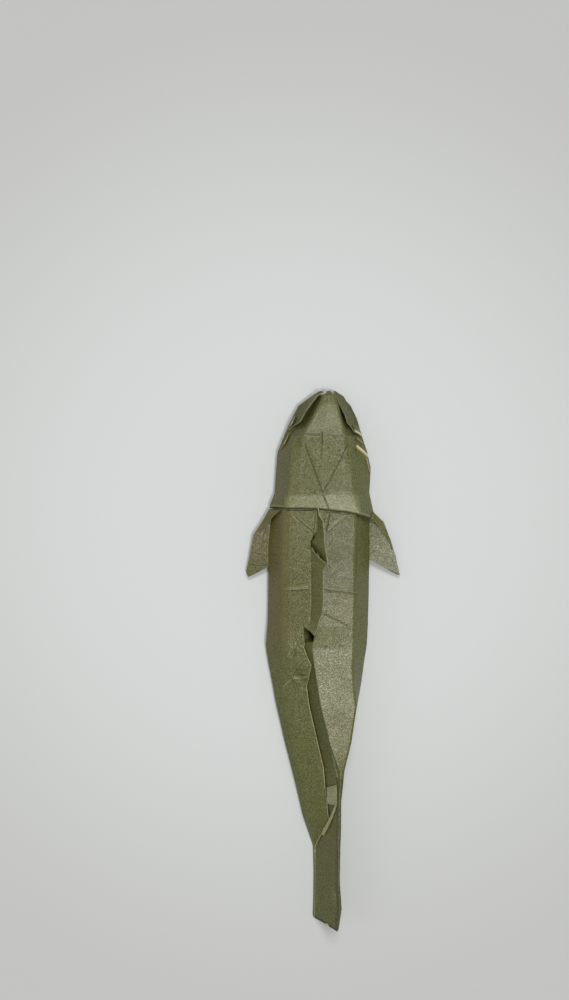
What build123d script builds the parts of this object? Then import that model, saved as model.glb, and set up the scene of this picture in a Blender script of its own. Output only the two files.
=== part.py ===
from build123d import *

import os

# A fish folded from one sheet of paper, lying on its belly with its back up.
# +Y points to the snout, +X to the fish's right side, +Z up. The origin is on the table,
# under the middle of the fish. The sheet's edges meet along the back, where they stand up
# as two dorsal pleats, so the belly is the plain middle of the sheet.

# Driving sizes, in millimetres
fish_length = 200.0
body_width = 38.0
body_height = 12.5
fin_span = 58.4
tail_height = 13.4
dorsal_rise = 5.4
lip_rise = 5.1
collar_lap = 4.0

# The sheet's layers, packed together, make a wall of this thickness
paper_wall = 0.5

# How much of the wall lies between a fin's underside and the second layer that sits on it,
# and how much of a tail fold's wall is sunk into the paper that it lies on
rim_seat_share = 0.7
fold_sunk_share = 0.8

# Rows of the tables below that are hollow, counted from the front
trunk_hollow_rows = 10
head_hollow_rows = 10

# The snout's first rows, which are solid folds, and the trunk's corners by their number
snout_rows = 2
left_ridge_corner = 2
free_edge_corner = 3
spine_corner = 5
right_ridge_corner = 6

# Overrun of a cut past the surface that it goes through
cut_over = 10.0

# Heights on the fish's sides, as shares of its height: the crease where the side fins grow,
# the jaw line where the lips stand, and the rise of the gill folds above that line
side_crease_share = 0.24
jaw_line_share = 0.264
gill_rise_share = 0.408

half_width = body_width / 2
half_span = fin_span / 2
fin_height = body_height * side_crease_share
jaw_height = body_height * jaw_line_share
gill_rise = body_height * gill_rise_share
up = Vector(0, 0, 1)


# Cross-sections of the trunk and tail, from under the collar to the end of the tail fin.
# Each row has its place along the fish, the size that its heights are shares of, and its
# corners from the left edge of the belly over the back to the right edge of the belly, as
# shares of half the body's width and of that height. The corners are: belly, side crease,
# ridge, edge of the left panel, tuck under that edge, spine, ridge, side crease, belly.
trunk_shares = [
    (0.205, body_height, [(-0.83, 0), (-0.97, 0.24), (-0.73, 0.925), (-0.17, 0.965),
                          (-0.14, 0.94), (-0.08, 0.965), (0.58, 0.94), (0.87, 0.24), (0.72, 0)]),
    (0.245, body_height, [(-0.895, 0), (-1.045, 0.24), (-0.78, 0.955), (-0.19, 0.99),
                          (-0.16, 0.965), (-0.08, 0.99), (0.605, 0.965), (0.925, 0.24), (0.77, 0)]),
    (0.291, body_height, [(-0.93, 0), (-1.085, 0.24), (-0.795, 0.945), (-0.26, 0.99),
                          (-0.23, 0.96), (-0.08, 1.0), (0.60, 0.955), (0.925, 0.24), (0.77, 0)]),
    (0.396, body_height, [(-0.93, 0), (-1.09, 0.24), (-0.795, 0.95), (-0.25, 1.0),
                          (-0.22, 0.97), (-0.08, 1.01), (0.59, 0.955), (0.90, 0.24), (0.75, 0)]),
    (0.438, body_height, [(-0.94, 0), (-1.10, 0.24), (-0.80, 0.945), (-0.29, 1.0),
                          (-0.26, 0.96), (-0.12, 1.04), (0.59, 0.955), (0.895, 0.24), (0.745, 0)]),
    (0.478, body_height, [(-0.97, 0), (-1.14, 0.24), (-0.82, 0.97), (-0.385, 0.93),
                          (-0.415, 0.80), (-0.22, 1.12), (0.58, 1.01), (0.87, 0.24), (0.715, 0)]),
    (0.512, body_height, [(-0.925, 0), (-1.08, 0.24), (-0.81, 0.86), (-0.245, 0.97),
                          (-0.275, 0.80), (-0.19, 1.12), (0.57, 1.01), (0.80, 0.24), (0.64, 0)]),
    (0.552, body_height, [(-0.85, 0), (-1.005, 0.24), (-0.79, 0.66), (-0.335, 0.72),
                          (-0.365, 0.55), (-0.12, 1.12), (0.59, 1.0), (0.715, 0.24), (0.57, 0)]),
    (0.587, body_height, [(-0.78, 0), (-0.935, 0.24), (-0.77, 0.53), (-0.28, 0.67),
                          (-0.31, 0.50), (-0.055, 1.12), (0.605, 0.985), (0.63, 0.24), (0.485, 0)]),
    (0.653, body_height, [(-0.625, 0), (-0.78, 0.225), (-0.63, 0.46), (-0.125, 0.625),
                          (-0.15, 0.47), (0.115, 1.13), (0.49, 1.02), (0.435, 0.24), (0.285, 0)]),
    (0.705, body_height, [(-0.495, 0), (-0.64, 0.21), (-0.515, 0.42), (0.01, 0.61),
                          (-0.02, 0.46), (0.315, 1.12), (0.385, 1.07), (0.24, 0.24), (0.105, 0)]),
    (0.758, tail_height, [(-0.38, 0), (-0.505, 0.18), (-0.40, 0.34), (0.05, 0.60),
                          (0.02, 0.46), (0.28, 1.02), (0.33, 1.0), (0.085, 0.22), (-0.03, 0)]),
    (0.806, tail_height, [(-0.285, 0), (-0.39, 0.15), (-0.305, 0.30), (0.10, 0.62),
                          (0.07, 0.48), (0.275, 1.01), (0.325, 0.985), (-0.01, 0.22), (-0.105, 0)]),
    (0.863, tail_height, [(-0.16, 0), (-0.195, 0.05), (-0.185, 0.11), (-0.165, 0.155),
                          (-0.14, 0.15), (0.27, 1.01), (0.305, 0.985), (0.0, 0.29), (-0.12, 0)]),
    (0.913, tail_height, [(-0.165, 0), (-0.185, 0.04), (-0.175, 0.09), (-0.155, 0.125),
                          (-0.145, 0.14), (0.27, 1.01), (0.305, 0.985), (0.0, 0.29), (-0.125, 0)]),
    (0.958, tail_height, [(-0.17, 0), (-0.19, 0.04), (-0.18, 0.09), (-0.16, 0.125),
                          (-0.15, 0.14), (0.305, 1.01), (0.34, 0.985), (0.02, 0.29), (-0.13, 0)]),
    (1.0, tail_height, [(-0.18, 0), (-0.20, 0.04), (-0.19, 0.09), (-0.17, 0.125),
                        (-0.16, 0.14), (0.24, 0.99), (0.275, 0.965), (-0.01, 0.27), (-0.14, 0)]),
]

# Cross-sections of the head, from the snout to behind the collar's edge, as shares of half
# the body's width and of the body's height. The corners are: belly, jaw line, valley under
# the lip, foot of the plate's side, edge of the top plate, middle, and the same back down.
head_shares = [
    (0.0030, [(0.02, 0.22), (0.0, 0.34), (0.005, 0.40), (0.015, 0.48), (0.045, 0.60),
              (0.105, 0.63), (0.165, 0.60), (0.185, 0.48), (0.195, 0.40), (0.20, 0.34), (0.17, 0.22)]),
    (0.0095, [(-0.14, 0.06), (-0.22, 0.285), (-0.17, 0.315), (-0.07, 0.35), (0.01, 0.655),
              (0.10, 0.68), (0.20, 0.655), (0.225, 0.35), (0.29, 0.315), (0.365, 0.285), (0.28, 0.06)]),
    (0.028, [(-0.37, 0), (-0.49, 0.27), (-0.40, 0.32), (-0.20, 0.38), (-0.08, 0.775),
             (0.095, 0.80), (0.28, 0.775), (0.315, 0.38), (0.45, 0.32), (0.545, 0.27), (0.42, 0)]),
    (0.053, [(-0.495, 0), (-0.625, 0.265), (-0.53, 0.33), (-0.345, 0.42), (-0.225, 0.895),
             (0.05, 0.925), (0.33, 0.895), (0.39, 0.42), (0.555, 0.33), (0.67, 0.265), (0.535, 0)]),
    (0.065, [(-0.55, 0), (-0.69, 0.26), (-0.60, 0.35), (-0.425, 0.48), (-0.30, 0.945),
             (0.03, 0.97), (0.365, 0.945), (0.435, 0.48), (0.60, 0.35), (0.71, 0.26), (0.57, 0)]),
    (0.075, [(-0.595, 0), (-0.735, 0.255), (-0.645, 0.37), (-0.49, 0.70), (-0.355, 0.98),
             (0.01, 1.005), (0.39, 0.98), (0.475, 0.68), (0.635, 0.37), (0.74, 0.255), (0.605, 0)]),
    (0.087, [(-0.645, 0), (-0.79, 0.255), (-0.695, 0.385), (-0.535, 0.75), (-0.415, 1.015),
             (-0.02, 1.04), (0.42, 1.02), (0.52, 0.75), (0.675, 0.385), (0.78, 0.255), (0.64, 0)]),
    (0.114, [(-0.76, 0), (-0.905, 0.24), (-0.79, 0.53), (-0.62, 0.965), (-0.425, 1.015),
             (-0.03, 1.05), (0.40, 1.025), (0.505, 0.965), (0.735, 0.53), (0.875, 0.24), (0.725, 0)]),
    (0.144, [(-0.785, 0), (-0.93, 0.24), (-0.80, 0.64), (-0.645, 1.0), (-0.435, 1.025),
             (-0.04, 1.055), (0.38, 1.035), (0.535, 1.0), (0.745, 0.64), (0.945, 0.24), (0.79, 0)]),
    (0.192, [(-0.82, 0), (-0.965, 0.24), (-0.845, 0.64), (-0.70, 1.03), (-0.455, 1.06),
             (-0.055, 1.085), (0.38, 1.065), (0.595, 1.03), (0.755, 0.64), (0.915, 0.24), (0.765, 0)]),
    (0.221, [(-0.905, 0), (-1.06, 0.24), (-0.905, 0.64), (-0.725, 1.01), (-0.47, 1.03),
             (-0.075, 1.05), (0.42, 1.035), (0.675, 1.015), (0.81, 0.64), (0.95, 0.24), (0.80, 0)]),
    (0.262, [(-0.95, 0), (-1.105, 0.24), (-0.95, 0.64), (-0.75, 1.0), (-0.47, 1.015),
             (-0.085, 1.035), (0.42, 1.02), (0.73, 1.0), (0.90, 0.64), (1.085, 0.24), (0.915, 0)]),
]

# The collar's edge seen from above, as shares of half the body's width and of the length
collar_shares = [
    (-1.06, 0.2205), (-0.65, 0.2215), (-0.065, 0.2235), (0.51, 0.2295),
    (0.71, 0.235), (0.905, 0.2395), (1.04, 0.2455),
]

# The two pocket mouths in the seam, seen from above, in the same shares
front_pocket_shares = [
    (-0.155, 0.264), (-0.26, 0.281), (-0.26, 0.294), (-0.205, 0.303), (-0.155, 0.3125),
]
rear_pocket_shares = [
    (-0.385, 0.438), (-0.27, 0.4474), (-0.18, 0.457), (-0.235, 0.4665), (-0.365, 0.4665),
]

# The dorsal pleats. Each row has the foot's place along, its place across and its height,
# as shares of half the body's width and of the body's height, then the top edge's place
# along, its place across and its rise above the back as a share of the dorsal rise.
front_dorsal_shares = [
    (0.2168, -0.13, 0.89, 0.2168, -0.12, 0.02),
    (0.232, -0.13, 0.90, 0.232, -0.10, 0.31),
    (0.2435, -0.13, 0.91, 0.2435, -0.03, 0.46),
    (0.2664, -0.13, 0.93, 0.2664, -0.005, 0.69),
    (0.291, -0.135, 0.945, 0.291, 0.015, 0.83),
    (0.312, -0.14, 0.945, 0.312, 0.052, 0.96),
    (0.3235, -0.14, 0.945, 0.3235, 0.06, 1.0),
]
rear_dorsal_shares = [
    (0.293, -0.263, 0.95, 0.293, -0.24, 0.03),
    (0.3025, -0.258, 0.95, 0.3025, -0.18, 0.28),
    (0.312, -0.252, 0.95, 0.312, -0.08, 0.65),
    (0.3225, -0.25, 0.95, 0.3225, 0.06, 0.97),
    (0.333, -0.24, 0.95, 0.333, -0.02, 0.83),
    (0.3864, -0.23, 0.95, 0.3864, -0.02, 0.83),
    (0.398, -0.235, 0.95, 0.398, -0.03, 0.80),
    (0.415, -0.245, 0.95, 0.415, -0.06, 0.69),
    (0.4245, -0.255, 0.95, 0.4255, -0.105, 0.61),
    (0.4325, -0.30, 0.95, 0.4426, -0.14, 0.50),
    (0.4375, -0.375, 0.94, 0.454, -0.18, 0.39),
]

# The lips and gill folds, which stand up from the jaw line. Each row has a point on the
# jaw line and one on the free edge, both as places along and across, and the rise above
# the jaw as a share of the lips' rise or of the gill folds' rise.
left_lip_shares = [
    (0.0024, -0.03, 0.30, 0.004, -0.009, 0.61),
    (0.0045, -0.13, 0.12, 0.012, -0.126, 0.76),
    (0.0137, -0.28, 0.0, 0.028, -0.256, 0.92),
    (0.033, -0.49, -0.04, 0.041, -0.353, 1.0),
    (0.0505, -0.575, -0.06, 0.060, -0.466, 0.88),
    (0.063, -0.64, -0.06, 0.065, -0.568, 0.53),
    (0.074, -0.695, -0.06, 0.0735, -0.68, 0.14),
]
right_lip_shares = [
    (0.0024, 0.2016, 0.30, 0.0045, 0.19, 0.61),
    (0.0102, 0.395, 0.04, 0.019, 0.268, 0.84),
    (0.033, 0.535, -0.02, 0.035, 0.352, 0.98),
    (0.0418, 0.59, -0.05, 0.0454, 0.409, 1.04),
    (0.0547, 0.645, -0.06, 0.061, 0.462, 1.02),
    (0.0682, 0.69, -0.06, 0.068, 0.53, 0.92),
    (0.0786, 0.73, -0.06, 0.079, 0.61, 0.76),
]
left_gill_shares = [
    (0.077, -0.70, -0.05, 0.077, -0.685, 0.12),
    (0.090, -0.77, -0.06, 0.088, -0.71, 0.45),
    (0.103, -0.835, -0.06, 0.100, -0.775, 0.50),
    (0.1135, -0.875, -0.05, 0.112, -0.855, 0.14),
]
left_layer_shares = [
    (0.0475, -0.585, -0.04, 0.0485, -0.560, 0.30),
    (0.0560, -0.628, -0.04, 0.0565, -0.597, 0.42),
    (0.0660, -0.680, -0.04, 0.0655, -0.645, 0.40),
    (0.0745, -0.722, -0.04, 0.0735, -0.700, 0.16),
]
right_front_gill_shares = [
    (0.0640, 0.565, 0.70, 0.0779, 0.631, 0.84),
    (0.0670, 0.640, 0.27, 0.0812, 0.700, 0.56),
    (0.0700, 0.700, 0.00, 0.0850, 0.773, 0.26),
]
right_inner_gill_shares = [
    (0.0960, 0.640, 0.62, 0.0880, 0.645, 0.72),
    (0.1000, 0.700, 0.40, 0.0925, 0.715, 0.48),
    (0.1040, 0.770, 0.16, 0.0970, 0.790, 0.22),
]
right_rear_gill_shares = [
    (0.1250, 0.625, 1.16, 0.1029, 0.650, 1.10),
    (0.1300, 0.730, 0.78, 0.1118, 0.785, 0.66),
    (0.1380, 0.870, 0.10, 0.1200, 0.876, 0.16),
]
right_layer_shares = [
    (0.1180, 0.868, -0.06, 0.1190, 0.835, 0.30),
    (0.1300, 0.900, -0.06, 0.1310, 0.862, 0.34),
    (0.1420, 0.925, -0.06, 0.1420, 0.890, 0.30),
    (0.1530, 0.930, -0.06, 0.1520, 0.918, 0.06),
]

# Two folds on the tail's steep side, where the left half wraps over the spine: a raised
# patch and the narrow lip of the tail fin. Each row has the left and then the right edge, as
# a place along, a place across and a rise above the tail's side as a share of its height.
tail_patch_shares = [
    (0.7400, 0.075, 0.0, 0.7305, 0.236, 0.0),
    (0.7470, 0.062, 0.11, 0.7380, 0.240, 0.02),
    (0.7660, 0.062, 0.11, 0.7620, 0.243, 0.02),
    (0.7705, 0.066, 0.0, 0.7665, 0.243, 0.0),
]
fin_lip_shares = [
    (0.7650, 0.225, 0.02, 0.7670, 0.250, 0.0),
    (0.7900, 0.130, 0.05, 0.7930, 0.168, 0.0),
    (0.8200, 0.000, 0.045, 0.8240, 0.052, 0.0),
    (0.8320, -0.027, 0.035, 0.8340, 0.012, 0.0),
]

# The side fins. Each row has a point on the root, as a place along and a share of half the
# body's width, and one on the rim, as a place along, a share of half the fin span and a
# height as a share of the fin's height at its root.
left_fin_shares = [
    (0.2225, -0.98, 0.2235, -0.702, 1.05),
    (0.247, -0.99, 0.2509, -0.812, 0.97),
    (0.268, -1.02, 0.272, -0.9075, 0.87),
    (0.288, -1.04, 0.2924, -0.9315, 0.80),
    (0.315, -1.06, 0.3264, -0.976, 0.67),
    (0.325, -1.06, 0.3407, -1.0, 0.60),
    (0.3305, -1.06, 0.3519, -0.97, 0.60),
]
right_fin_shares = [
    (0.226, 0.86, 0.2275, 0.644, 1.05),
    (0.243, 0.87, 0.2477, 0.7877, 1.0),
    (0.275, 0.885, 0.2806, 0.87, 0.87),
    (0.300, 0.89, 0.3117, 0.942, 0.70),
    (0.314, 0.89, 0.3483, 1.0, 0.57),
    (0.3175, 0.89, 0.345, 0.945, 0.57),
]

# The collar's ends run on as a second layer along each side fin's front rim. Each row has
# a point on the rim, as a place along, a share of half the fin span and a share of the
# fin's height, and one on the free edge, whose height is a share of the body's height.
left_rim_shares = [
    (0.2245, -0.695, 1.05, 0.2245, -0.558, 0.74),
    (0.2385, -0.75, 1.0, 0.2345, -0.628, 0.56),
    (0.2515, -0.805, 0.96, 0.2435, -0.685, 0.42),
    (0.2625, -0.855, 0.91, 0.2585, -0.745, 0.33),
    (0.2715, -0.897, 0.87, 0.2705, -0.89, 0.262),
]
right_rim_shares = [
    (0.2275, 0.64, 1.05, 0.239, 0.61, 0.50),
    (0.239, 0.712, 1.02, 0.246, 0.664, 0.36),
    (0.248, 0.783, 1.0, 0.259, 0.726, 0.31),
    (0.264, 0.822, 0.93, 0.2735, 0.798, 0.285),
    (0.2805, 0.866, 0.87, 0.2855, 0.856, 0.265),
    (0.2985, 0.903, 0.78, 0.2995, 0.898, 0.25),
]


def along(share):
    """Place along the fish, from the snout tip at share 0 to the tail end at share 1."""
    return fish_length * (0.5 - share)


def section_points(corners, height):
    """The corners of one cross-section in millimetres, across and up."""
    return [(across * half_width, rise * height) for across, rise in corners]


def moved_in(points, depth):
    """A clockwise ring of corners with each side moved in by the given depth."""
    moved = []
    for index, here in enumerate(points):
        corner = Vector(*here, 0)
        before = Vector(*points[index - 1], 0)
        after = Vector(*points[(index + 1) % len(points)], 0)
        arriving = (corner - before).normalized()
        leaving = (after - corner).normalized()
        first_normal = Vector(arriving.Y, -arriving.X, 0)
        second_normal = Vector(leaving.Y, -leaving.X, 0)
        reach = depth / (1 + first_normal.dot(second_normal))
        inner = corner + (first_normal + second_normal) * reach
        moved.append((inner.X, inner.Y))
    return moved


def lofted(rings):
    """A solid through closed rings of corners, each standing across the fish at its place."""
    with BuildPart() as piece:
        for place, ring in rings:
            with BuildSketch(Plane.XZ.offset(-place)):
                with BuildLine():
                    Polyline(*ring, close=True)
                make_face()
        loft(ruled=True)
    return piece.part


def paper_strip(pairs):
    """A strip of folded paper between two edges, through pairs of points on them."""
    with BuildPart() as strip:
        for foot, edge in pairs:
            run = edge - foot
            with BuildSketch(Plane(origin=foot, x_dir=run, z_dir=run.cross(up))):
                Rectangle(run.length, paper_wall, align=(Align.MIN, Align.MIN))
        loft(ruled=True)
    return strip.part


def dorsal_pleat(rows):
    """A pleat that stands up from the seam and leans to the right."""
    pairs = []
    for foot_share, foot_across, foot_up, top_share, top_across, rise in rows:
        top_up = body_height + rise * dorsal_rise
        foot = Vector(foot_across * half_width, along(foot_share), foot_up * body_height)
        top = Vector(top_across * half_width, along(top_share), top_up)
        pairs.append((foot, top))
    return paper_strip(pairs)


def head_fold(rows, full_rise):
    """A fold that stands up from the jaw line and leans in over the valley."""
    pairs = []
    for foot_share, foot_across, foot_rise, edge_share, edge_across, edge_rise in rows:
        foot_up = jaw_height + foot_rise * full_rise
        edge_up = jaw_height + edge_rise * full_rise
        foot = Vector(foot_across * half_width, along(foot_share), foot_up)
        edge = Vector(edge_across * half_width, along(edge_share), edge_up)
        pairs.append((foot, edge))
    return paper_strip(pairs)


def back_height(share, across):
    """Height of the trunk's back at a place along and across it."""
    for (near, near_height, here), (far, far_height, there) in zip(trunk_shares, trunk_shares[1:]):
        if near <= share <= far:
            part_way = (share - near) / (far - near)
            line = []
            for number in (left_ridge_corner, free_edge_corner, spine_corner, right_ridge_corner):
                side = here[number][0] + (there[number][0] - here[number][0]) * part_way
                near_up = here[number][1] * near_height
                far_up = there[number][1] * far_height
                line.append((side, near_up + (far_up - near_up) * part_way))
            for (side, rise), (next_side, next_rise) in zip(line, line[1:]):
                if side <= across <= next_side:
                    return rise + (next_rise - rise) * (across - side) / (next_side - side)
    raise ValueError("the place is off the back")


def tail_fold(rows):
    """A fold that lies on the tail's steep side, sunk into it by most of its wall."""
    pairs = []
    for left_share, left_across, left_rise, right_share, right_across, right_rise in rows:
        left_up = back_height(left_share, left_across) + left_rise * tail_height
        right_up = back_height(right_share, right_across) + right_rise * tail_height
        sunk = paper_wall * fold_sunk_share
        left = Vector(left_across * half_width, along(left_share), left_up - sunk)
        right = Vector(right_across * half_width, along(right_share), right_up - sunk)
        pairs.append((left, right))
    return paper_strip(pairs)


def side_fin(rows):
    """A fin that runs out from the side crease and droops to its tip."""
    pairs = []
    for root_share, root_across, rim_share, rim_across, droop in rows:
        root = Vector(root_across * half_width, along(root_share), fin_height - paper_wall / 2)
        rim = Vector(rim_across * half_span, along(rim_share), droop * fin_height)
        pairs.append((root, rim))
    return paper_strip(pairs)


def fin_rim(rows):
    """The collar's end, lying as a second layer on a side fin's front rim."""
    pairs = []
    for rim_share, rim_across, droop, edge_share, edge_across, edge_up in rows:
        rim_up = droop * fin_height + paper_wall * rim_seat_share
        rim = Vector(rim_across * half_span, along(rim_share), rim_up)
        edge = Vector(edge_across * half_span, along(edge_share), edge_up * body_height)
        pairs.append((rim, edge))
    return paper_strip(pairs)


# Trunk and tail, solid
trunk_rings = [(along(share), section_points(corners, height))
               for share, height, corners in trunk_shares]
trunk = lofted(trunk_rings)

# The hollow in the trunk, one wall inside its skin and open to the head's hollow. The
# corner at the left panel's free edge is passed over, because that edge is one layer.
skins = [section_points(corners[:free_edge_corner] + corners[free_edge_corner + 1:], height)
         for share, height, corners in trunk_shares[:trunk_hollow_rows]]
trunk_hollow_places = [along(share) for share, height, corners in trunk_shares[:trunk_hollow_rows]]
trunk_hollow_places[0] = along(head_shares[head_hollow_rows - 1][0]) + paper_wall
trunk_hollow = lofted([(place, moved_in(skin, paper_wall))
                       for place, skin in zip(trunk_hollow_places, skins)])

# Head, solid, running on behind the collar's edge, and its two hollows: the one in front
# of the collar, and the room under the collar's edge
head_rings = [(along(share), section_points(corners, body_height))
              for share, corners in head_shares]
inner_head_rings = [(place, moved_in(ring, paper_wall)) for place, ring in head_rings]
whole_head = lofted(head_rings)
head_hollow = lofted(inner_head_rings[snout_rows:head_hollow_rows])
lap_hollow = lofted(inner_head_rings[head_hollow_rows - 1:])

# What lies behind the collar's edge, seen from above, and the same one lap further forward
collar_edge = [(across * half_width, along(share)) for across, share in collar_shares]
far_left = collar_edge[0][0] - cut_over
far_right = collar_edge[-1][0] + cut_over
far_back = along(head_shares[-1][0]) - cut_over
behind_outline = [
    (far_left, far_back), (far_left, collar_edge[0][1]), *collar_edge,
    (far_right, collar_edge[-1][1]), (far_right, far_back),
]
with BuildPart() as behind_collar:
    with BuildSketch(Plane.XY.offset(-cut_over)):
        with BuildLine():
            Polyline(*behind_outline, close=True)
        make_face()
    extrude(amount=body_height * 2 + cut_over)

with BuildPart() as collar_room:
    with BuildSketch(Plane.XY.offset(fin_height)):
        with BuildLine():
            Polyline(*[(x, y + collar_lap) for x, y in behind_outline], close=True)
        make_face()
    extrude(amount=body_height * 2)
    add(lap_hollow, mode=Mode.INTERSECT)

with BuildPart() as head:
    add(whole_head)
    add(behind_collar.part, mode=Mode.SUBTRACT)
    add(collar_room.part, mode=Mode.SUBTRACT)

# The whole sheet: head and trunk as one skin, hollowed, with the pocket mouths cut through
# the back, and then the pleats, lips and fins
with BuildPart() as folded_fish:
    add(head.part)
    add(trunk)
    add(head_hollow, mode=Mode.SUBTRACT)
    add(trunk_hollow, mode=Mode.SUBTRACT)
    for mouth in (front_pocket_shares, rear_pocket_shares):
        with BuildSketch(Plane.XY.offset(body_height / 2)):
            with BuildLine():
                Polyline(*[(across * half_width, along(share)) for across, share in mouth], close=True)
            make_face()
        extrude(amount=body_height, mode=Mode.SUBTRACT)
    add(dorsal_pleat(front_dorsal_shares))
    add(dorsal_pleat(rear_dorsal_shares))
    add(head_fold(left_lip_shares, lip_rise))
    add(head_fold(right_lip_shares, lip_rise))
    for rows in (left_layer_shares, left_gill_shares, right_front_gill_shares,
                 right_inner_gill_shares, right_rear_gill_shares, right_layer_shares):
        add(head_fold(rows, gill_rise))
    for rows in (tail_patch_shares, fin_lip_shares):
        add(tail_fold(rows))
    for rows in (left_fin_shares, right_fin_shares):
        add(side_fin(rows))
    for rows in (left_rim_shares, right_rim_shares):
        add(fin_rim(rows))

os.makedirs("parts", exist_ok=True)
folded_fish.part.label = "folded_fish"
export_step(folded_fish.part, "parts/folded_fish.step")
print("solids", len(folded_fish.part.solids()), "volume", round(folded_fish.part.volume))
print("box", folded_fish.part.bounding_box())
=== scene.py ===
# %% [markdown]
# # A fish folded from one sheet of olive paper
# The fish lies on its belly. Its back, head and tail are flat panels that meet at crisp folds,
# and the edges of the sheet stand up along the back as leaning pleats. Folded paper could be
# made with a cloth simulation, but the folds of a finished fish don't move, so each panel is
# built where it lies: cross-sections give the fold lines, and a fine net of faces fills the
# paper between them. The folds then come out of the geometry, and small dents and creases
# are pressed into the net afterwards.

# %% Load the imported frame
import math

import bmesh
import bpy
import numpy as np
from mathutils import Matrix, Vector, noise


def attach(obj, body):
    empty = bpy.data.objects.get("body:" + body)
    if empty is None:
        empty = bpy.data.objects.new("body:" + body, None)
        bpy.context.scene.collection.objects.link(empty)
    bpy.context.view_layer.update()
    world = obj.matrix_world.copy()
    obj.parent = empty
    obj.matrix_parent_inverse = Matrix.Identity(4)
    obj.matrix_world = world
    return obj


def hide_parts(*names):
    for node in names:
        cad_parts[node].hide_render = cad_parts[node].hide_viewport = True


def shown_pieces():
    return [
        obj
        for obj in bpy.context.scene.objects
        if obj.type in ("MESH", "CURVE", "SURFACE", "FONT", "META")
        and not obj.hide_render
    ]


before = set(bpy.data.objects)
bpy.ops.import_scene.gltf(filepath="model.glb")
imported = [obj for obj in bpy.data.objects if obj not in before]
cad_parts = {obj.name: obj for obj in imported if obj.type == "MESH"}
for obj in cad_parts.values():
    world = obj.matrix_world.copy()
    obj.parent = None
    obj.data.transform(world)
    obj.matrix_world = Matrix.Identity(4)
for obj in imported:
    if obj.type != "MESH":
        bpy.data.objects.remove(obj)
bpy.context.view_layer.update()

# %% Driving sizes, in metres
# These are the sizes of the solid model, so each panel lands on it.
fish_length = 0.200
half_width = 0.019  # of the body, where it is widest
half_span = 0.0292  # over the side fins
body_height = 0.0125
tail_height = 0.0134
crease_height = 0.0030  # of the trunk's side crease, where the fins start
dorsal_rise = 0.0054  # of the pleats above the back
jaw_height = 0.0033
lip_rise = 0.0051  # of the lips above the jaw
layer = 0.00042  # a folded layer of paper
net_step = 0.0007  # between the rows of a net


def along(share):
    """Place along the fish, from the snout at share 0 to the tail end at share 1."""
    return fish_length * (0.5 - share)


def corner(share, across, height):
    """A point from its place along the fish, its place across as a share, and its height."""
    return (across * half_width, along(share), height)


# %% [markdown]
# ## From fold lines to paper
# Every panel lies between two fold lines. A net is laid between them with a row every 0.7 mm
# and one narrow column beside each fold. That narrow column does two jobs. It keeps the bend
# tight, so light catches the fold as it does on real paper, and it limits the paler line of
# worn fibre to the fold itself. A few folds on the back were only pressed lightly, so their
# column is wider and the paper rounds over. A bevel modifier would round the folds too, but
# it can't tell a worn edge from a plain one.

# %% The net between fold lines
# A bend reaches 0.28 mm to each side of a fold. In a narrow panel it takes at most a quarter
# of the width, or a little more beside a soft fold.
fold_reach = 0.00028
crisp_limit = 0.25
soft_limit = 0.42


def rows_between(lines, step):
    """Rows of points along the fold lines, and the first row of each stretch."""
    rows = []
    starts = []
    for here, there in zip(lines[:-1], lines[1:]):
        starts.append(len(rows))
        reach = np.linalg.norm(there - here, axis=1).max()
        count = max(1, round(reach / step))
        for index in range(count):
            rows.append(here + (there - here) * (index / count))
    rows.append(lines[-1])
    return np.array(rows), starts


def bend_share(reach, width):
    """The share of a panel's width that the bend beside a fold takes."""
    limit = crisp_limit if reach == fold_reach else soft_limit
    return np.minimum(reach / np.maximum(width, fold_reach), limit)


def net_between(rings, marks, closed, step=net_step, soft_folds=None):
    """Rows of points across the fold lines, and how near each point is to a fold."""
    lines = np.array(rings, dtype=float)
    reaches = [(soft_folds or {}).get(number, fold_reach) for number in range(lines.shape[1])]
    if closed:
        lines = np.concatenate([lines, lines[:, :1]], axis=1)
        marks = list(marks) + [marks[0]]
        reaches.append(reaches[0])
    rows, starts = rows_between(lines, step)
    points = []
    wear_and_painted_light = []
    for number in range(rows.shape[1] - 1):
        near, far = rows[:, number], rows[:, number + 1]
        width = np.linalg.norm(far - near, axis=1)
        near_bend = bend_share(reaches[number], width)
        far_bend = bend_share(reaches[number + 1], width)
        points.append(near)
        wear_and_painted_light.append(np.full_like(width, marks[number]))
        count = max(1, math.ceil(width.max() / step))
        for index in range(count + 1):
            place = near_bend + (1 - near_bend - far_bend) * (index / count)
            points.append(near + (far - near) * place[:, None])
            wear_and_painted_light.append(np.zeros_like(width))
    if not closed:
        points.append(rows[:, -1])
        wear_and_painted_light.append(np.full(len(rows), marks[-1]))
    return np.array(points).transpose(1, 0, 2), np.array(wear_and_painted_light).T, starts


# %% [markdown]
# ## Dents that paper gets by itself
# No hand-folded panel is quite flat. A slow random field moves every point by a tenth of a
# millimetre or so, and behind the rear pocket the paper is crumpled into small sharp ridges.
# A Displace modifier could do this too. The field is read here at each point's own place,
# so that panels that meet at a fold move together and never split, and so that it can fade
# out near the table, where the belly has to stay level. The seed keeps every run the same.

# %% Buckling
# Depths, sizes, places and heights are in metres. Below the level height nothing moves, and
# the loose height further up the paper moves in full.
buckle_seed = 3
buckle_depth = 0.00022
buckle_size = 0.011
ripple_size = buckle_size * 0.35
ripple_squeeze = 1.7
ripple_share = 0.25
level_height = 0.0006
loose_height = 0.004
crumple_place = (-0.0110, -0.0040)
crumple_reach = (0.0052, 0.0090)
crumple_depth = 0.00034
crumple_size = 0.0036
crumple_slant = (0.8, 0.5)
crumple_lift = 0.3
crumple_fringe = 0.02
noise.seed_set(buckle_seed)


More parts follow.
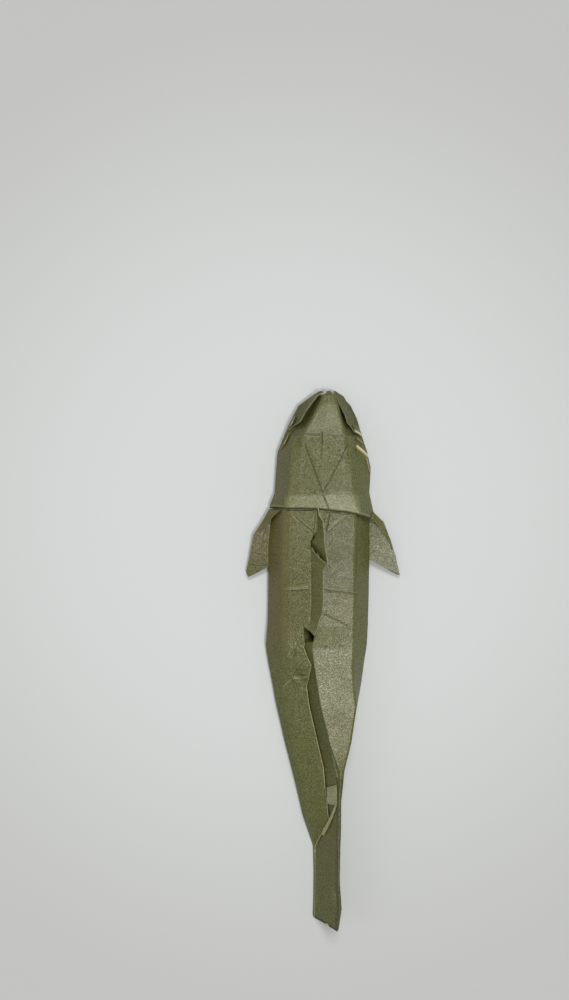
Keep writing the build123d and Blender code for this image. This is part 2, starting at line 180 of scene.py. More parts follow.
def crumpled(x, y, z, looseness):
    """How far the crumpled patch lifts a point: sharp ridges, fading out round its middle."""
    off = [(here - there) / reach
           for here, there, reach in zip((x, y), crumple_place, crumple_reach)]
    near = math.exp(-off[0] ** 2 - off[1] ** 2) * looseness
    if near <= crumple_fringe:
        return 0.0
    slanted = Vector((x * crumple_slant[0] + y * crumple_slant[1], y, z))
    ridge = abs(noise.noise(slanted / crumple_size))
    return (crumple_lift - 2 * ridge) * crumple_depth * near


def buckled(points):
    """The points with the unevenness of folded paper."""
    flat = points.reshape(-1, 3)
    moved = flat.copy()
    for index, (x, y, z) in enumerate(flat):
        looseness = min(max((z - level_height) / loose_height, 0.0), 1.0)
        if looseness > 0:
            push = noise.noise_vector(Vector((x, y, z)) / buckle_size)
            ripple = noise.noise_vector(Vector((x, y * ripple_squeeze, z)) / ripple_size)
            moved[index] += np.array(push) * buckle_depth * looseness
            moved[index] += np.array(ripple) * buckle_depth * ripple_share * looseness
            moved[index][2] += crumpled(x, y, z, looseness)
    return moved.reshape(points.shape)


# %% [markdown]
# ## From points to pieces
# Each piece becomes one mesh that takes the place of the solid in the pictures. Two values
# ride on its points: `wear_and_painted_light` is above 0 on pale rubbed folds and painted
# highlights, and below 0 where shade is painted, in creases and other dark places, and `raw`
# shows where the sheet's cream edge is open. Painted pictures could hold them
# too, but values on the points need no file and never slide off a fold.

# %% Turn a net into a Blender object
def faces_of(row_count, column_count, closed):
    """The faces between the rows and columns of a net, all round if it is closed."""
    faces = []
    wrap = column_count if closed else column_count - 1
    for row in range(row_count - 1):
        for column in range(wrap):
            beside = (column + 1) % column_count
            faces.append((row * column_count + column, (row + 1) * column_count + column,
                          (row + 1) * column_count + beside, row * column_count + beside))
    return faces


def paper_object(name, points, wear_and_painted_light, faces, raw=None):
    """A smooth mesh in the fish's paper, in place of the solid's node."""
    mesh = bpy.data.meshes.new(name)
    mesh.from_pydata(points.reshape(-1, 3).tolist(), [], faces)
    mesh.update()
    for label, values in (("wear_and_painted_light", wear_and_painted_light), ("raw", raw)):
        store = mesh.attributes.new(label, "FLOAT", "POINT")
        if values is not None:
            flat = np.ascontiguousarray(values, dtype=np.float32).ravel()
            store.data.foreach_set("value", flat)
    mesh.shade_smooth()
    piece = bpy.data.objects.new(name, mesh)
    bpy.context.scene.collection.objects.link(piece)
    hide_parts("folded_fish")
    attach(piece, "root")
    return piece


# %% [markdown]
# ## Loose layers
# Pleats, lips, gills and fins are thin layers with an upper face, a lower face and a rim.
# A plane with a Solidify modifier would do too. Here the rim is made in the same step,
# because the cream of the raw edge has to run round it. The rim's edges stay crisp in the
# shading, and everything else is smooth.

# %% Make a thin layer
crisp_angle = 50
least_length = 1e-12


def mark_sharp(piece, degrees):
    """Edges that bend more than this keep a crisp line in the shading."""
    mesh = piece.data
    normals = np.array([face.normal[:] for face in mesh.polygons])
    first = {}
    sharp = np.zeros(len(mesh.edges), dtype=bool)
    limit = math.cos(math.radians(degrees))
    for face in mesh.polygons:
        for loop in face.loop_indices:
            edge = mesh.loops[loop].edge_index
            if edge in first:
                sharp[edge] = normals[first[edge]] @ normals[face.index] < limit
            else:
                first[edge] = face.index
    store = mesh.attributes.new("sharp_edge", "BOOLEAN", "EDGE")
    store.data.foreach_set("value", sharp)


def rim_of(rows, columns):
    """The points round a net, in order."""
    rim = list(range(columns))
    rim += [row * columns + columns - 1 for row in range(1, rows)]
    rim += [(rows - 1) * columns + column for column in range(columns - 2, -1, -1)]
    rim += [row * columns for row in range(rows - 2, 0, -1)]
    return rim


def layer_object(name, pairs, foot_mark=0.0, edge_mark=0.6, raw_mark=0.0, body_mark=0.0,
                 step=net_step, raw_reach=0.0004):
    """A thin folded layer between a foot line and a free edge."""
    points, wear_and_painted_light, _ = net_between(pairs, (foot_mark, edge_mark), False, step)
    # A body mark below 0 is painted shade over the whole layer; one above 0 is a pale tone, on the
    # wrap a painted highlight.
    if body_mark < 0:
        wear_and_painted_light = np.where(wear_and_painted_light > 0, wear_and_painted_light, body_mark)
    else:
        wear_and_painted_light = np.maximum(wear_and_painted_light, body_mark)
    points = buckled(points)
    normal = np.cross(np.gradient(points, axis=0), np.gradient(points, axis=1))
    normal /= np.maximum(np.linalg.norm(normal, axis=-1, keepdims=True), least_length)
    upper = points + normal * layer / 2
    lower = points - normal * layer / 2
    rows, columns = points.shape[:2]
    count = rows * columns
    faces = faces_of(rows, columns, False)
    under = [tuple(count + spot for spot in reversed(face)) for face in faces]
    rim = rim_of(rows, columns)
    walls = [(there, here, count + here, count + there)
             for here, there in zip(rim, rim[1:] + rim[:1])]
    from_edge = np.linalg.norm(points - points[:, -1:], axis=-1)
    raw = np.clip(1 - from_edge / raw_reach, 0, 1).ravel() * raw_mark
    piece = paper_object(name, np.concatenate([upper.reshape(-1, 3), lower.reshape(-1, 3)]),
                         np.tile(wear_and_painted_light.ravel(), 2), faces + under + walls, np.tile(raw, 2))
    mark_sharp(piece, crisp_angle)
    return piece


# %% [markdown]
# ## Creases from earlier folding steps
# The panels are crossed by creases that were pressed and opened again while the fish was
# being folded. Each one is a thin groove or ridge with its own edges, so it stays sharp in
# any light. The mesh is cut along three parallel planes, and the middle line is pressed in.
# Painting a line with vertex colours would need a far finer mesh. Each crease also puts a
# mark on its points: a pale worn line, or painted shade along a dark one.

# %% Press creases into a panel
# A crease is pressed in over 0.36 mm to each side, and gets shallower towards its ends.
crease_reach = 0.00036
search_reach = crease_reach * 5
least_upward = 0.1
end_slack = 0.001
end_depth = 0.3
taper_rate = 12
cut_tolerance = 1e-7


def faces_beside(net, start, run, side, length, low):
    """The upward faces near a crease, above a height."""
    near = []
    for face in net.faces:
        middle = face.calc_center_median()
        if middle.z > low and face.normal.z > least_upward:
            spot = middle - start
            beside = abs(spot.dot(side)) < search_reach
            if beside and -net_step < spot.dot(run) < length + net_step:
                near.append(face)
    return near


def cut_along(net, faces, start, side):
    """Cut the faces along three lines, and return the points near them."""
    parts = set(faces)
    for face in faces:
        parts.update(face.edges)
        parts.update(face.verts)
    parts = list(parts)
    for offset in (-crease_reach, 0, crease_reach):
        cut = bmesh.ops.bisect_plane(net, geom=parts, dist=cut_tolerance,
                                     plane_co=start + side * offset, plane_no=side)
        parts = cut["geom"]
    return {part for part in parts if isinstance(part, bmesh.types.BMVert)}


def crease(piece, creases, low):
    """Press each crease into the paper that lies above a height."""
    net = bmesh.new()
    net.from_mesh(piece.data)
    tone = net.verts.layers.float["wear_and_painted_light"]
    for share_a, across_a, share_b, across_b, depth, mark in creases:
        start = Vector((across_a * half_width, along(share_a), 0))
        run = Vector((across_b * half_width, along(share_b), 0)) - start
        length = run.length
        run.normalize()
        side = Vector((-run.y, run.x, 0))
        faces = faces_beside(net, start, run, side, length, low)
        for vertex in cut_along(net, faces, start, side):
            spot = vertex.co - start
            gap = abs(spot.dot(side)) / crease_reach
            place = spot.dot(run) / length
            if gap < 1 and -end_slack < place < 1 + end_slack:
                taper = min(1.0, taper_rate * min(place, 1 - place) + end_depth)
                weight = (1 - gap) * taper
                vertex.co.z -= depth * weight
                # A dark mark is painted shade in the crease, and a pale one is a worn line.
                if abs(mark) * weight > abs(vertex[tone]):
                    vertex[tone] = mark * weight
    net.to_mesh(piece.data)
    net.free()


# %% [markdown]
# ## The head
# The head is a blunt tube of flat panels: a top plate, two side facets, two valleys that run
# down behind the lips, and the belly. Its back edge is the collar, a fold that lies over the
# front of the trunk. It could be modelled by hand from a box, but cross-sections keep it on
# the solid model, because they use the same shares. The last rows follow the collar's line:
# the paper rolls down a little, ends, and turns under, so that the collar shows the thickness
# of a folded edge.

# %% Cross-sections of the head
# Each row has its place along the fish and its corners, as shares of half the body's width
# and of its height: belly, jaw line, valley, foot of the plate's side, edge of the top plate,
# middle, and the same back down.
head_shares = [
    (0.0018, [(0.060, 0.36), (0.058, 0.40), (0.060, 0.44), (0.064, 0.50),
              (0.072, 0.58), (0.092, 0.60), (0.118, 0.58), (0.128, 0.50),
              (0.132, 0.44), (0.134, 0.40), (0.13, 0.36)]),
    (0.0064, [(0.050, 0.16), (0.038, 0.30), (0.036, 0.40), (0.036, 0.48),
              (0.046, 0.62), (0.110, 0.65), (0.180, 0.62), (0.196, 0.48),
              (0.198, 0.40), (0.198, 0.30), (0.18, 0.16)]),
    (0.0085, [(-0.14, 0.06), (-0.22, 0.285), (-0.17, 0.315), (-0.07, 0.35),
              (0.01, 0.655), (0.10, 0.68), (0.20, 0.655), (0.225, 0.35),
              (0.29, 0.315), (0.365, 0.285), (0.28, 0.06)]),
    (0.028, [(-0.37, 0), (-0.49, 0.27), (-0.40, 0.32), (-0.20, 0.38),
             (-0.08, 0.775), (0.095, 0.80), (0.28, 0.775), (0.315, 0.38),
             (0.45, 0.32), (0.545, 0.27), (0.42, 0)]),
    (0.053, [(-0.495, 0), (-0.625, 0.265), (-0.53, 0.33), (-0.345, 0.42),
             (-0.225, 0.895), (0.05, 0.925), (0.33, 0.895), (0.39, 0.42),
             (0.555, 0.33), (0.67, 0.265), (0.535, 0)]),
    (0.065, [(-0.55, 0), (-0.69, 0.26), (-0.60, 0.35), (-0.425, 0.48),
             (-0.30, 0.945), (0.03, 0.97), (0.365, 0.945), (0.435, 0.48),
             (0.60, 0.35), (0.71, 0.26), (0.57, 0)]),
    (0.075, [(-0.595, 0), (-0.735, 0.255), (-0.645, 0.37), (-0.49, 0.70),
             (-0.355, 0.98), (0.01, 1.005), (0.39, 0.98), (0.475, 0.68),
             (0.635, 0.37), (0.74, 0.255), (0.605, 0)]),
    (0.087, [(-0.645, 0), (-0.79, 0.255), (-0.695, 0.385), (-0.535, 0.75),
             (-0.415, 1.015), (-0.02, 1.04), (0.42, 1.02), (0.52, 0.75),
             (0.675, 0.385), (0.78, 0.255), (0.64, 0)]),
    (0.114, [(-0.76, 0), (-0.905, 0.24), (-0.79, 0.53), (-0.62, 0.965),
             (-0.425, 1.015), (-0.03, 1.05), (0.40, 1.025), (0.505, 0.965),
             (0.735, 0.53), (0.875, 0.24), (0.725, 0)]),
    (0.144, [(-0.785, 0), (-0.93, 0.24), (-0.80, 0.64), (-0.645, 1.0),
             (-0.435, 1.025), (-0.04, 1.055), (0.38, 1.035), (0.535, 1.0),
             (0.745, 0.64), (0.945, 0.24), (0.79, 0)]),
    (0.192, [(-0.82, 0), (-0.965, 0.24), (-0.845, 0.64), (-0.70, 1.03),
             (-0.455, 1.06), (-0.055, 1.085), (0.38, 1.065), (0.595, 1.03),
             (0.755, 0.64), (0.915, 0.24), (0.765, 0)]),
    (0.221, [(-0.905, 0), (-1.06, 0.24), (-0.905, 0.64), (-0.725, 1.01),
             (-0.47, 1.03), (-0.075, 1.05), (0.42, 1.035), (0.675, 1.015),
             (0.81, 0.64), (0.95, 0.24), (0.80, 0)]),
    (0.262, [(-0.95, 0), (-1.105, 0.24), (-0.95, 0.64), (-0.75, 1.0),
             (-0.47, 1.015), (-0.085, 1.035), (0.42, 1.02), (0.73, 1.0),
             (0.90, 0.64), (1.085, 0.24), (0.915, 0)]),
]
collar_shares = [
    (-1.06, 0.2205), (-0.65, 0.2215), (-0.065, 0.2235), (0.51, 0.2295),
    (0.71, 0.235), (0.905, 0.2395), (1.04, 0.2455),
]
# How pale the paper is on each fold line, and how far the soft folds reach.
head_marks = [0, 0.15, 0, 0.08, 0.10, 0, 0.10, 0.08, 0, 0.15, 0]
head_soft_folds = {3: 0.0009, 4: 0.0009, 6: 0.0009, 7: 0.0009}
head_creases = [
    # share and across of one end, then of the other, depth, and how pale the line is, or below 0
    # how much painted shade darkens it
    (0.0845, -0.39, 0.0860, -0.06, 0.00018, -0.95),
    (0.0865, 0.03, 0.0890, 0.40, 0.00016, -0.75),
    (0.0885, -0.37, 0.0885, -0.08, -0.00014, 0.30),
    (0.078, -0.035, 0.104, -0.045, 0.00016, -1.0),
    (0.104, -0.045, 0.130, -0.055, 0.00010, -0.35),
    (0.1010, -0.385, 0.1925, -0.03, 0.00018, -1.0),
    (0.1030, 0.465, 0.1925, -0.03, 0.00018, -1.0),
    (0.194, -0.03, 0.2255, 0.10, 0.00014, -1.0),
    (0.196, -0.45, 0.196, 0.33, -0.00010, 0.06),
]
# Slits, in the same columns; their dark marks are painted shade inside them.
head_slits = [
    (0.0623, -0.50, 0.1113, -0.837, 0.00030, -1.0),
    (0.0650, 0.50, 0.0840, 0.60, 0.00030, -0.9),
]


# %% The collar's line
# The back's corners roll down and turn under, and the belly's corners only end there.
roll_length_share = 0.0048
roll_drop = 0.00030
hem_depth = 0.00045
hem_length_share = 0.012
collar_guess = 0.225
collar_tries = 4
back_above = 0.3
least_across = 0.3


def collar_share(across):
    """Where the collar's edge lies along the fish, at a place across it."""
    sides = [point[0] for point in collar_shares]
    places = [point[1] for point in collar_shares]
    return float(np.interp(across, sides, places))


def line_at(rows, number, share):
    """A fold line's corner at any place along the fish, between two cross-sections."""
    places = [row[0] for row in rows]
    sides = [row[1][number][0] for row in rows]
    heights = [row[1][number][1] for row in rows]
    return float(np.interp(share, places, sides)), float(np.interp(share, places, heights))


roll_ring = []
collar_ring = []
hem_ring = []
for number in range(len(head_shares[0][1])):
    share = collar_guess
    for _ in range(collar_tries):
        across, up = line_at(head_shares, number, share)
        share = collar_share(across)
    on_back = up > back_above
    roll = roll_drop if on_back else 0
    hem = hem_depth if on_back else 0
    inward = 1 - hem_depth / half_width / max(abs(across), least_across)
    roll_ring.append(corner(share - roll_length_share, across, up * body_height))
    collar_ring.append(corner(share, across, up * body_height - roll))
    hem_ring.append((across * inward * half_width, along(share - hem_length_share),
                     up * body_height - roll - hem))
print("collar line", len(collar_ring), "corners")

# %% Build the head
rows_to_collar = 11
band_highlight_from = 0.194
band_highlight_blend = 0.004
band_highlight_mark = 0.30
plate_above = 0.9
valley_end = 0.085
valley_shade_mark = -0.35
roll_mark = 0.45
collar_mark = 0.05
plate_creases_above = 0.6
slits_above = 0.3
head_rings = [[corner(share, across, up * body_height) for across, up in corners]
              for share, corners in head_shares[:rows_to_collar]]
head_rings += [roll_ring, collar_ring, hem_ring]
points, wear_and_painted_light, starts = net_between(head_rings, head_marks, True, soft_folds=head_soft_folds)
# A painted highlight makes the band before the collar pale, and painted shade darkens the valleys
# behind the lips.
band_highlight = np.clip((along(band_highlight_from) - points[..., 1]) / (fish_length * band_highlight_blend), 0, 1)
on_plate = points[..., 2] > body_height * plate_above
wear_and_painted_light = np.where(on_plate, np.maximum(wear_and_painted_light, band_highlight * band_highlight_mark), wear_and_painted_light)
plate_up = np.interp(points[..., 1], [along(row[0]) for row in reversed(head_shares)],
                     [row[1][4][1] * body_height for row in reversed(head_shares)])
valley_shade = np.clip((plate_up - points[..., 2]) / lip_rise, 0, 1) * valley_shade_mark
in_valley = (points[..., 1] > along(valley_end)) & (points[..., 2] > jaw_height)
wear_and_painted_light = np.where(in_valley, wear_and_painted_light + valley_shade, wear_and_painted_light)
wear_and_painted_light[starts[-2]] = np.maximum(wear_and_painted_light[starts[-2]], roll_mark)
wear_and_painted_light[starts[-1]] = collar_mark
points = buckled(points)
rows, columns = points.shape[:2]
head_faces = faces_of(rows, columns, True)
head_faces.append(tuple(range(columns)))
head = paper_object("head_panels", points, wear_and_painted_light, head_faces)
crease(head, head_creases, body_height * plate_creases_above)
crease(head, head_slits, body_height * slits_above)
print("head", len(head.data.polygons), "faces")

# %% [markdown]
# ## The trunk and the tail
# One long tube of panels runs from under the collar to the end of the tail. The sheet's two
# halves meet along the back: the left half ends in a raw edge, and the right half rises
# beside it as a spine. Further back the left half sinks, the right one stays high, and the
# steep band between them becomes the tail fin, which leans to the right. Two separate halves
# would be easier to draw, but a single net from the cross-sections keeps all of this as one
# sheet.

# %% Cross-sections of the trunk
# The corners are: belly, side crease, ridge, edge of the left panel, tuck under that edge,
# spine, ridge, side crease, belly.
trunk_shares = [
    (0.205, body_height, [(-0.83, 0.015), (-0.97, 0.24), (-0.73, 0.925),
                          (-0.17, 0.965), (-0.14, 0.94), (-0.08, 0.965),
                          (0.58, 0.94), (0.87, 0.24), (0.72, 0.015)]),
    (0.245, body_height, [(-0.895, 0.015), (-1.045, 0.24), (-0.78, 0.925),
                          (-0.19, 0.99), (-0.16, 0.965), (-0.08, 0.99),
                          (0.605, 0.965), (0.925, 0.24), (0.77, 0.015)]),
    (0.291, body_height, [(-0.93, 0), (-1.085, 0.24), (-0.795, 0.91),
                          (-0.26, 0.99), (-0.23, 0.96), (-0.08, 1.0),
                          (0.60, 0.955), (0.925, 0.24), (0.77, 0)]),
    (0.396, body_height, [(-0.93, 0), (-1.09, 0.24), (-0.795, 0.91),
                          (-0.25, 1.0), (-0.22, 0.97), (-0.08, 1.01),
                          (0.59, 0.955), (0.90, 0.24), (0.75, 0)]),
    (0.438, body_height, [(-0.94, 0), (-1.10, 0.24), (-0.80, 0.90),
                          (-0.29, 1.0), (-0.26, 0.96), (-0.12, 1.04),
                          (0.59, 0.955), (0.895, 0.24), (0.745, 0)]),
    (0.478, body_height, [(-0.97, 0), (-1.14, 0.24), (-0.82, 0.87),
                          (-0.385, 0.92), (-0.415, 0.80), (-0.22, 1.12),
                          (0.58, 0.99), (0.87, 0.24), (0.715, 0)]),
    (0.512, body_height, [(-0.925, 0), (-1.08, 0.24), (-0.81, 0.77),
                          (-0.245, 0.88), (-0.275, 0.76), (-0.19, 1.12),
                          (0.57, 0.98), (0.81, 0.24), (0.65, 0)]),
    (0.552, body_height, [(-0.85, 0), (-1.005, 0.24), (-0.79, 0.63),
                          (-0.335, 0.71), (-0.365, 0.55), (-0.12, 1.12),
                          (0.595, 0.97), (0.755, 0.24), (0.60, 0)]),
    (0.587, body_height, [(-0.78, 0), (-0.935, 0.24), (-0.77, 0.53),
                          (-0.28, 0.67), (-0.31, 0.50), (-0.055, 1.12),
                          (0.635, 0.96), (0.69, 0.24), (0.53, 0)]),
    (0.653, body_height, [(-0.625, 0), (-0.78, 0.225), (-0.63, 0.46),
                          (-0.125, 0.625), (-0.15, 0.47), (0.115, 1.13),
                          (0.525, 1.02), (0.48, 0.24), (0.32, 0)]),
    (0.705, body_height, [(-0.495, 0), (-0.64, 0.21), (-0.515, 0.42),
                          (0.01, 0.61), (-0.02, 0.46), (0.315, 1.12),
                          (0.385, 1.07), (0.24, 0.24), (0.105, 0)]),
    (0.758, tail_height, [(-0.38, 0), (-0.505, 0.18), (-0.40, 0.34),
                          (0.05, 0.60), (0.02, 0.46), (0.28, 1.02),
                          (0.33, 1.0), (0.085, 0.22), (-0.03, 0)]),
    (0.806, tail_height, [(-0.285, 0), (-0.39, 0.15), (-0.305, 0.30),
                          (0.10, 0.62), (0.07, 0.48), (0.275, 1.01),
                          (0.325, 0.985), (-0.01, 0.22), (-0.105, 0)]),
    (0.863, tail_height, [(-0.16, 0), (-0.195, 0.05), (-0.185, 0.11),
                          (-0.165, 0.155), (-0.14, 0.15), (0.27, 1.01),
                          (0.305, 0.985), (0.0, 0.29), (-0.12, 0)]),
    (0.913, tail_height, [(-0.165, 0), (-0.185, 0.04), (-0.175, 0.09),
                          (-0.155, 0.125), (-0.145, 0.14), (0.27, 1.01),
                          (0.305, 0.985), (0.0, 0.29), (-0.125, 0)]),
    (0.958, tail_height, [(-0.17, 0), (-0.19, 0.04), (-0.18, 0.09),
                          (-0.16, 0.125), (-0.15, 0.14), (0.305, 1.01),
                          (0.34, 0.985), (0.02, 0.29), (-0.13, 0)]),
    (0.9962, tail_height, [(-0.18, 0), (-0.20, 0.04), (-0.19, 0.09),
                           (-0.17, 0.125), (-0.16, 0.14), (0.24, 0.99),
                           (0.275, 0.965), (-0.01, 0.27), (-0.14, 0)]),
]
# How pale the paper is on each fold line, how far the soft folds reach, and where the left
# half's raw edge comes out of the seam.
trunk_marks = [0, 0.10, 0.05, 0.8, 0, 0.4, 0.08, 0.10, 0]
trunk_soft_folds = {2: 0.0024, 6: 0.0009}
edge_start_share = 0.462
trunk_creases = [
    # share and across of one end, then of the other, depth, and how pale the line is, or below 0
    # how much painted shade darkens it
    (0.3683, -0.76, 0.3648, -0.30, -0.00008, 0.40),
    (0.3715, -0.76, 0.368, -0.30, -0.00012, 0.45),
    (0.3745, -0.76, 0.371, -0.30, 0.00014, -0.70),
    (0.3655, -0.04, 0.3720, 0.50, -0.00008, 0.25),
    (0.3685, -0.04, 0.3775, 0.70, -0.00010, 0.25),
    (0.371, -0.04, 0.380, 0.70, 0.00014, -0.70),
    (0.414, -0.02, 0.437, 0.50, 0.00016, -0.80),
    (0.2325, -0.58, 0.2660, -0.17, -0.00010, 0.35),
    (0.2350, -0.58, 0.2685, -0.17, 0.00014, -0.60),
    (0.2655, 0.02, 0.2300, 0.46, 0.00012, 0.35),
    (0.2680, 0.02, 0.2325, 0.46, 0.00010, -0.40),
    (0.2296, 0.103, 0.264, 0.043, 0.00022, -1.0),
    # The next two are the collar's painted shadow on the trunk.
    (0.2245, -0.76, 0.2255, -0.18, 0.00025, -0.90),
    (0.2265, -0.05, 0.2325, 0.51, 0.00025, -0.90),
    (0.5544, -0.797, 0.5385, -0.640, -0.00014, 0.35),
    (0.5385, -0.640, 0.5353, -0.324, -0.00008, 0.22),
    (0.5425, -0.640, 0.5393, -0.324, 0.00012, -0.70),
    (0.5325, -0.640, 0.5290, -0.340, 0.00010, -0.70),
    (0.5180, -0.560, 0.5260, -0.330, 0.00018, -0.60),
    (0.6740, 0.156, 0.7211, 0.267, -0.00018, 0.55),
    (0.9330, 0.205, 0.9420, 0.235, -0.00014, 0.50),
    (0.9375, 0.150, 0.9470, 0.190, -0.00012, 0.35),
    (0.4985, -0.375, 0.5140, -0.498, -0.00020, 0.35),
    (0.5140, -0.498, 0.5378, -0.674, -0.00020, 0.35),
    (0.5020, -0.385, 0.5170, -0.505, 0.00018, -0.60),
    (0.5170, -0.505, 0.5410, -0.680, 0.00018, -0.50),
    (0.4800, -0.620, 0.4985, -0.730, -0.00016, 0.30),
    (0.4700, -0.560, 0.5060, -0.640, -0.00014, 0.25),
    (0.4720, -0.535, 0.5080, -0.615, 0.00014, -0.40),
]


# %% Tones of the trunk
# Places are shares of the length, and heights are shares of the body's or the tail's height.
# Marks above 0 are pale and marks below 0 are painted shade.
seam_mark_limit = 0.75
seam_reach = 0.5
raw_seam = 0.35
fin_edge_from = 0.715
fin_edge_above = 0.9
fin_edge_shade = -0.45
tail_end_shade = -0.8
panel_above = 0.85
panel_shade = -0.30
shade_place = 0.315
shade_reach = 0.075
tail_fin_from = 0.84
tail_fin_above = 0.2
tail_fin_shade = -0.09


def trunk_tones(points, wear_and_painted_light):
    """Where the trunk's paper is worn or raw, and where painted shade darkens it, beyond its fold
    lines.
    """
    across, place, up = points[..., 0], points[..., 1], points[..., 2]
    closed_seam = (place > along(edge_start_share)) & (abs(across) < half_width * seam_reach)
    wear_and_painted_light[closed_seam] = 0
    raw = np.where(wear_and_painted_light > seam_mark_limit, raw_seam, 0)
    # The tail fin's top edge and the tail's last row get painted shade.
    fin_edge = (place < along(fin_edge_from)) & (up > tail_height * fin_edge_above)
    wear_and_painted_light[fin_edge] = fin_edge_shade
    wear_and_painted_light[-1] = tail_end_shade
    # Painted shade darkens the right panel beside the pleats, and the whole tail fin.
    right_panel = (across > 0) & (up > body_height * panel_above)
    off = (place - along(shade_place)) / (fish_length * shade_reach)
    wear_and_painted_light = np.where(right_panel & (wear_and_painted_light == 0), panel_shade * np.exp(-off ** 2), wear_and_painted_light)
    tail_fin = (place < along(tail_fin_from)) & (up > tail_height * tail_fin_above)
    wear_and_painted_light = np.where(tail_fin & (wear_and_painted_light == 0), tail_fin_shade, wear_and_painted_light)
    return wear_and_painted_light, raw


# %% Build the trunk
back_creases_above = 0.4
trunk_rings = [[corner(share, across, up * height) for across, up in corners]
               for share, height, corners in trunk_shares]
points, wear_and_painted_light, _ = net_between(trunk_rings, trunk_marks, True, soft_folds=trunk_soft_folds)
wear_and_painted_light, raw = trunk_tones(points, wear_and_painted_light)
points = buckled(points)
rows, columns = points.shape[:2]
trunk_faces = faces_of(rows, columns, True)
trunk_faces.append(tuple(range(columns)))
trunk_faces.append(tuple((rows - 1) * columns + column for column in reversed(range(columns))))
trunk = paper_object("trunk_panels", points, wear_and_painted_light, trunk_faces, raw)
crease(trunk, trunk_creases, body_height * back_creases_above)
print("trunk", len(trunk.data.polygons), "faces")

# %% [markdown]
# ## The two pockets
# Where one pleat ends and the next begins, the seam opens into a small dark pocket. A boolean
# cut is the plain way to open one: it keeps clean edges at any mesh density, which deleting
# faces would not. Each cutter is a prism with the pocket's outline and a sloping floor.

# %% Outlines of the pockets
pocket_shares = {
    # place along, place across, and height of the floor, as shares
    "front_pocket": [(0.2640, -0.150, 0.80), (0.2810, -0.262, 0.70), (0.2945, -0.262, 0.42),
                     (0.3040, -0.200, 0.30), (0.3140, -0.140, 0.30), (0.2900, -0.130, 0.55)],
    "rear_pocket": [(0.4385, -0.400, 0.80), (0.4480, -0.285, 0.42), (0.4570, -0.190, 0.42),
                    (0.4665, -0.215, 0.62), (0.4690, -0.380, 0.78)],
}
cutter_top = 1.6


def pocket_cutter(name, corners):
    """A closed prism with a flat top and a floor that slopes to its middle."""
    count = len(corners)
    top = [corner(share, across, body_height * cutter_top) for share, across, up in corners]
    low = [corner(share, across, up * body_height) for share, across, up in corners]
    middle = tuple(np.mean(low, axis=0))
    lid = [tuple(reversed(range(count)))]
    sides = [(index, (index + 1) % count, count + (index + 1) % count, count + index)
             for index in range(count)]
    floor_faces = [(count + index, 2 * count, count + (index + 1) % count)
                   for index in range(count)]
    mesh = bpy.data.meshes.new(name)
    mesh.from_pydata(top + low + [middle], [], lid + sides + floor_faces)
    net = bmesh.new()
    net.from_mesh(mesh)
    bmesh.ops.recalc_face_normals(net, faces=net.faces)
    net.to_mesh(mesh)
    net.free()
    cutter = bpy.data.objects.new(name, mesh)
    bpy.context.scene.collection.objects.link(cutter)
    return cutter


# %% Cut the pockets
for name, corners in pocket_shares.items():
    cutter = pocket_cutter(name, corners)
    bpy.context.view_layer.update()
    cut = trunk.modifiers.new(name, "BOOLEAN")
    cut.operation = "DIFFERENCE"
    cut.solver = "EXACT"
    cut.object = cutter
    graph = bpy.context.evaluated_depsgraph_get()
    opened = bpy.data.meshes.new_from_object(trunk.evaluated_get(graph))
    trunk.modifiers.clear()
    trunk.data = opened
    bpy.data.objects.remove(cutter)
print("trunk with pockets", len(trunk.data.polygons), "faces")

# %% [markdown]
# ## The pleats along the back
# Two pleats stand up from the seam and lean to the right. Each is a doubled layer of paper
# with a folded upper edge, so each is a thin plate with a pale line along its top. They could
# be pulled up out of the trunk's net, but its columns would stretch where a pleat starts and
# ends, so each one is a layer of its own that stands in the seam.

# %% Dorsal pleats
# Each row has the foot's place along, its place across and its height, then the top edge's
# place along, its place across and its rise above the back, all as shares.
front_pleat_shares = [
    (0.2168, -0.13, 0.89, 0.2168, -0.12, 0.02),
    (0.232, -0.13, 0.92, 0.232, -0.10, 0.31),
    (0.2435, -0.13, 0.93, 0.2435, -0.03, 0.46),
    (0.264, -0.145, 0.93, 0.2664, -0.005, 0.69),
    (0.2764, -0.19, 0.92, 0.281, 0.005, 0.76),
    (0.2830, -0.25, 0.86, 0.291, 0.015, 0.83),
    (0.2935, -0.25, 0.72, 0.300, 0.030, 0.89),
    (0.304, -0.20, 0.62, 0.312, 0.052, 0.96),
    (0.314, -0.13, 0.62, 0.3235, 0.06, 1.0),
]
rear_pleat_shares = [
    (0.293, -0.263, 0.95, 0.293, -0.24, 0.03),
    (0.3025, -0.258, 0.95, 0.3025, -0.18, 0.28),
    (0.312, -0.252, 0.95, 0.312, -0.08, 0.65),
    (0.3225, -0.25, 0.95, 0.3225, 0.06, 0.97),
    (0.333, -0.24, 0.95, 0.333, -0.02, 0.83),
    (0.3864, -0.23, 0.95, 0.3864, -0.02, 0.83),
    (0.398, -0.235, 0.95, 0.398, -0.03, 0.80),
    (0.415, -0.245, 0.95, 0.415, -0.06, 0.69),
    (0.4245, -0.255, 0.95, 0.4255, -0.105, 0.61),
    (0.4325, -0.30, 0.95, 0.4426, -0.14, 0.50),
    (0.4375, -0.375, 0.94, 0.454, -0.18, 0.39),
]


def pleat_pairs(rows):
    """The foot and the top of a pleat at each row."""
    pairs = []
    for foot_share, foot_across, foot_up, top_share, top_across, rise in rows:
        foot = corner(foot_share, foot_across, foot_up * body_height)
        top = corner(top_share, top_across, body_height + rise * dorsal_rise)
        pairs.append((foot, top))
    return pairs


pleat_mark = 0.10
pleat_shares = {"front_pleat": front_pleat_shares, "rear_pleat": rear_pleat_shares}
for name, rows_of_shares in pleat_shares.items():
    layer_object(name, pleat_pairs(rows_of_shares), body_mark=pleat_mark)
print("pleats", len(pleat_shares))

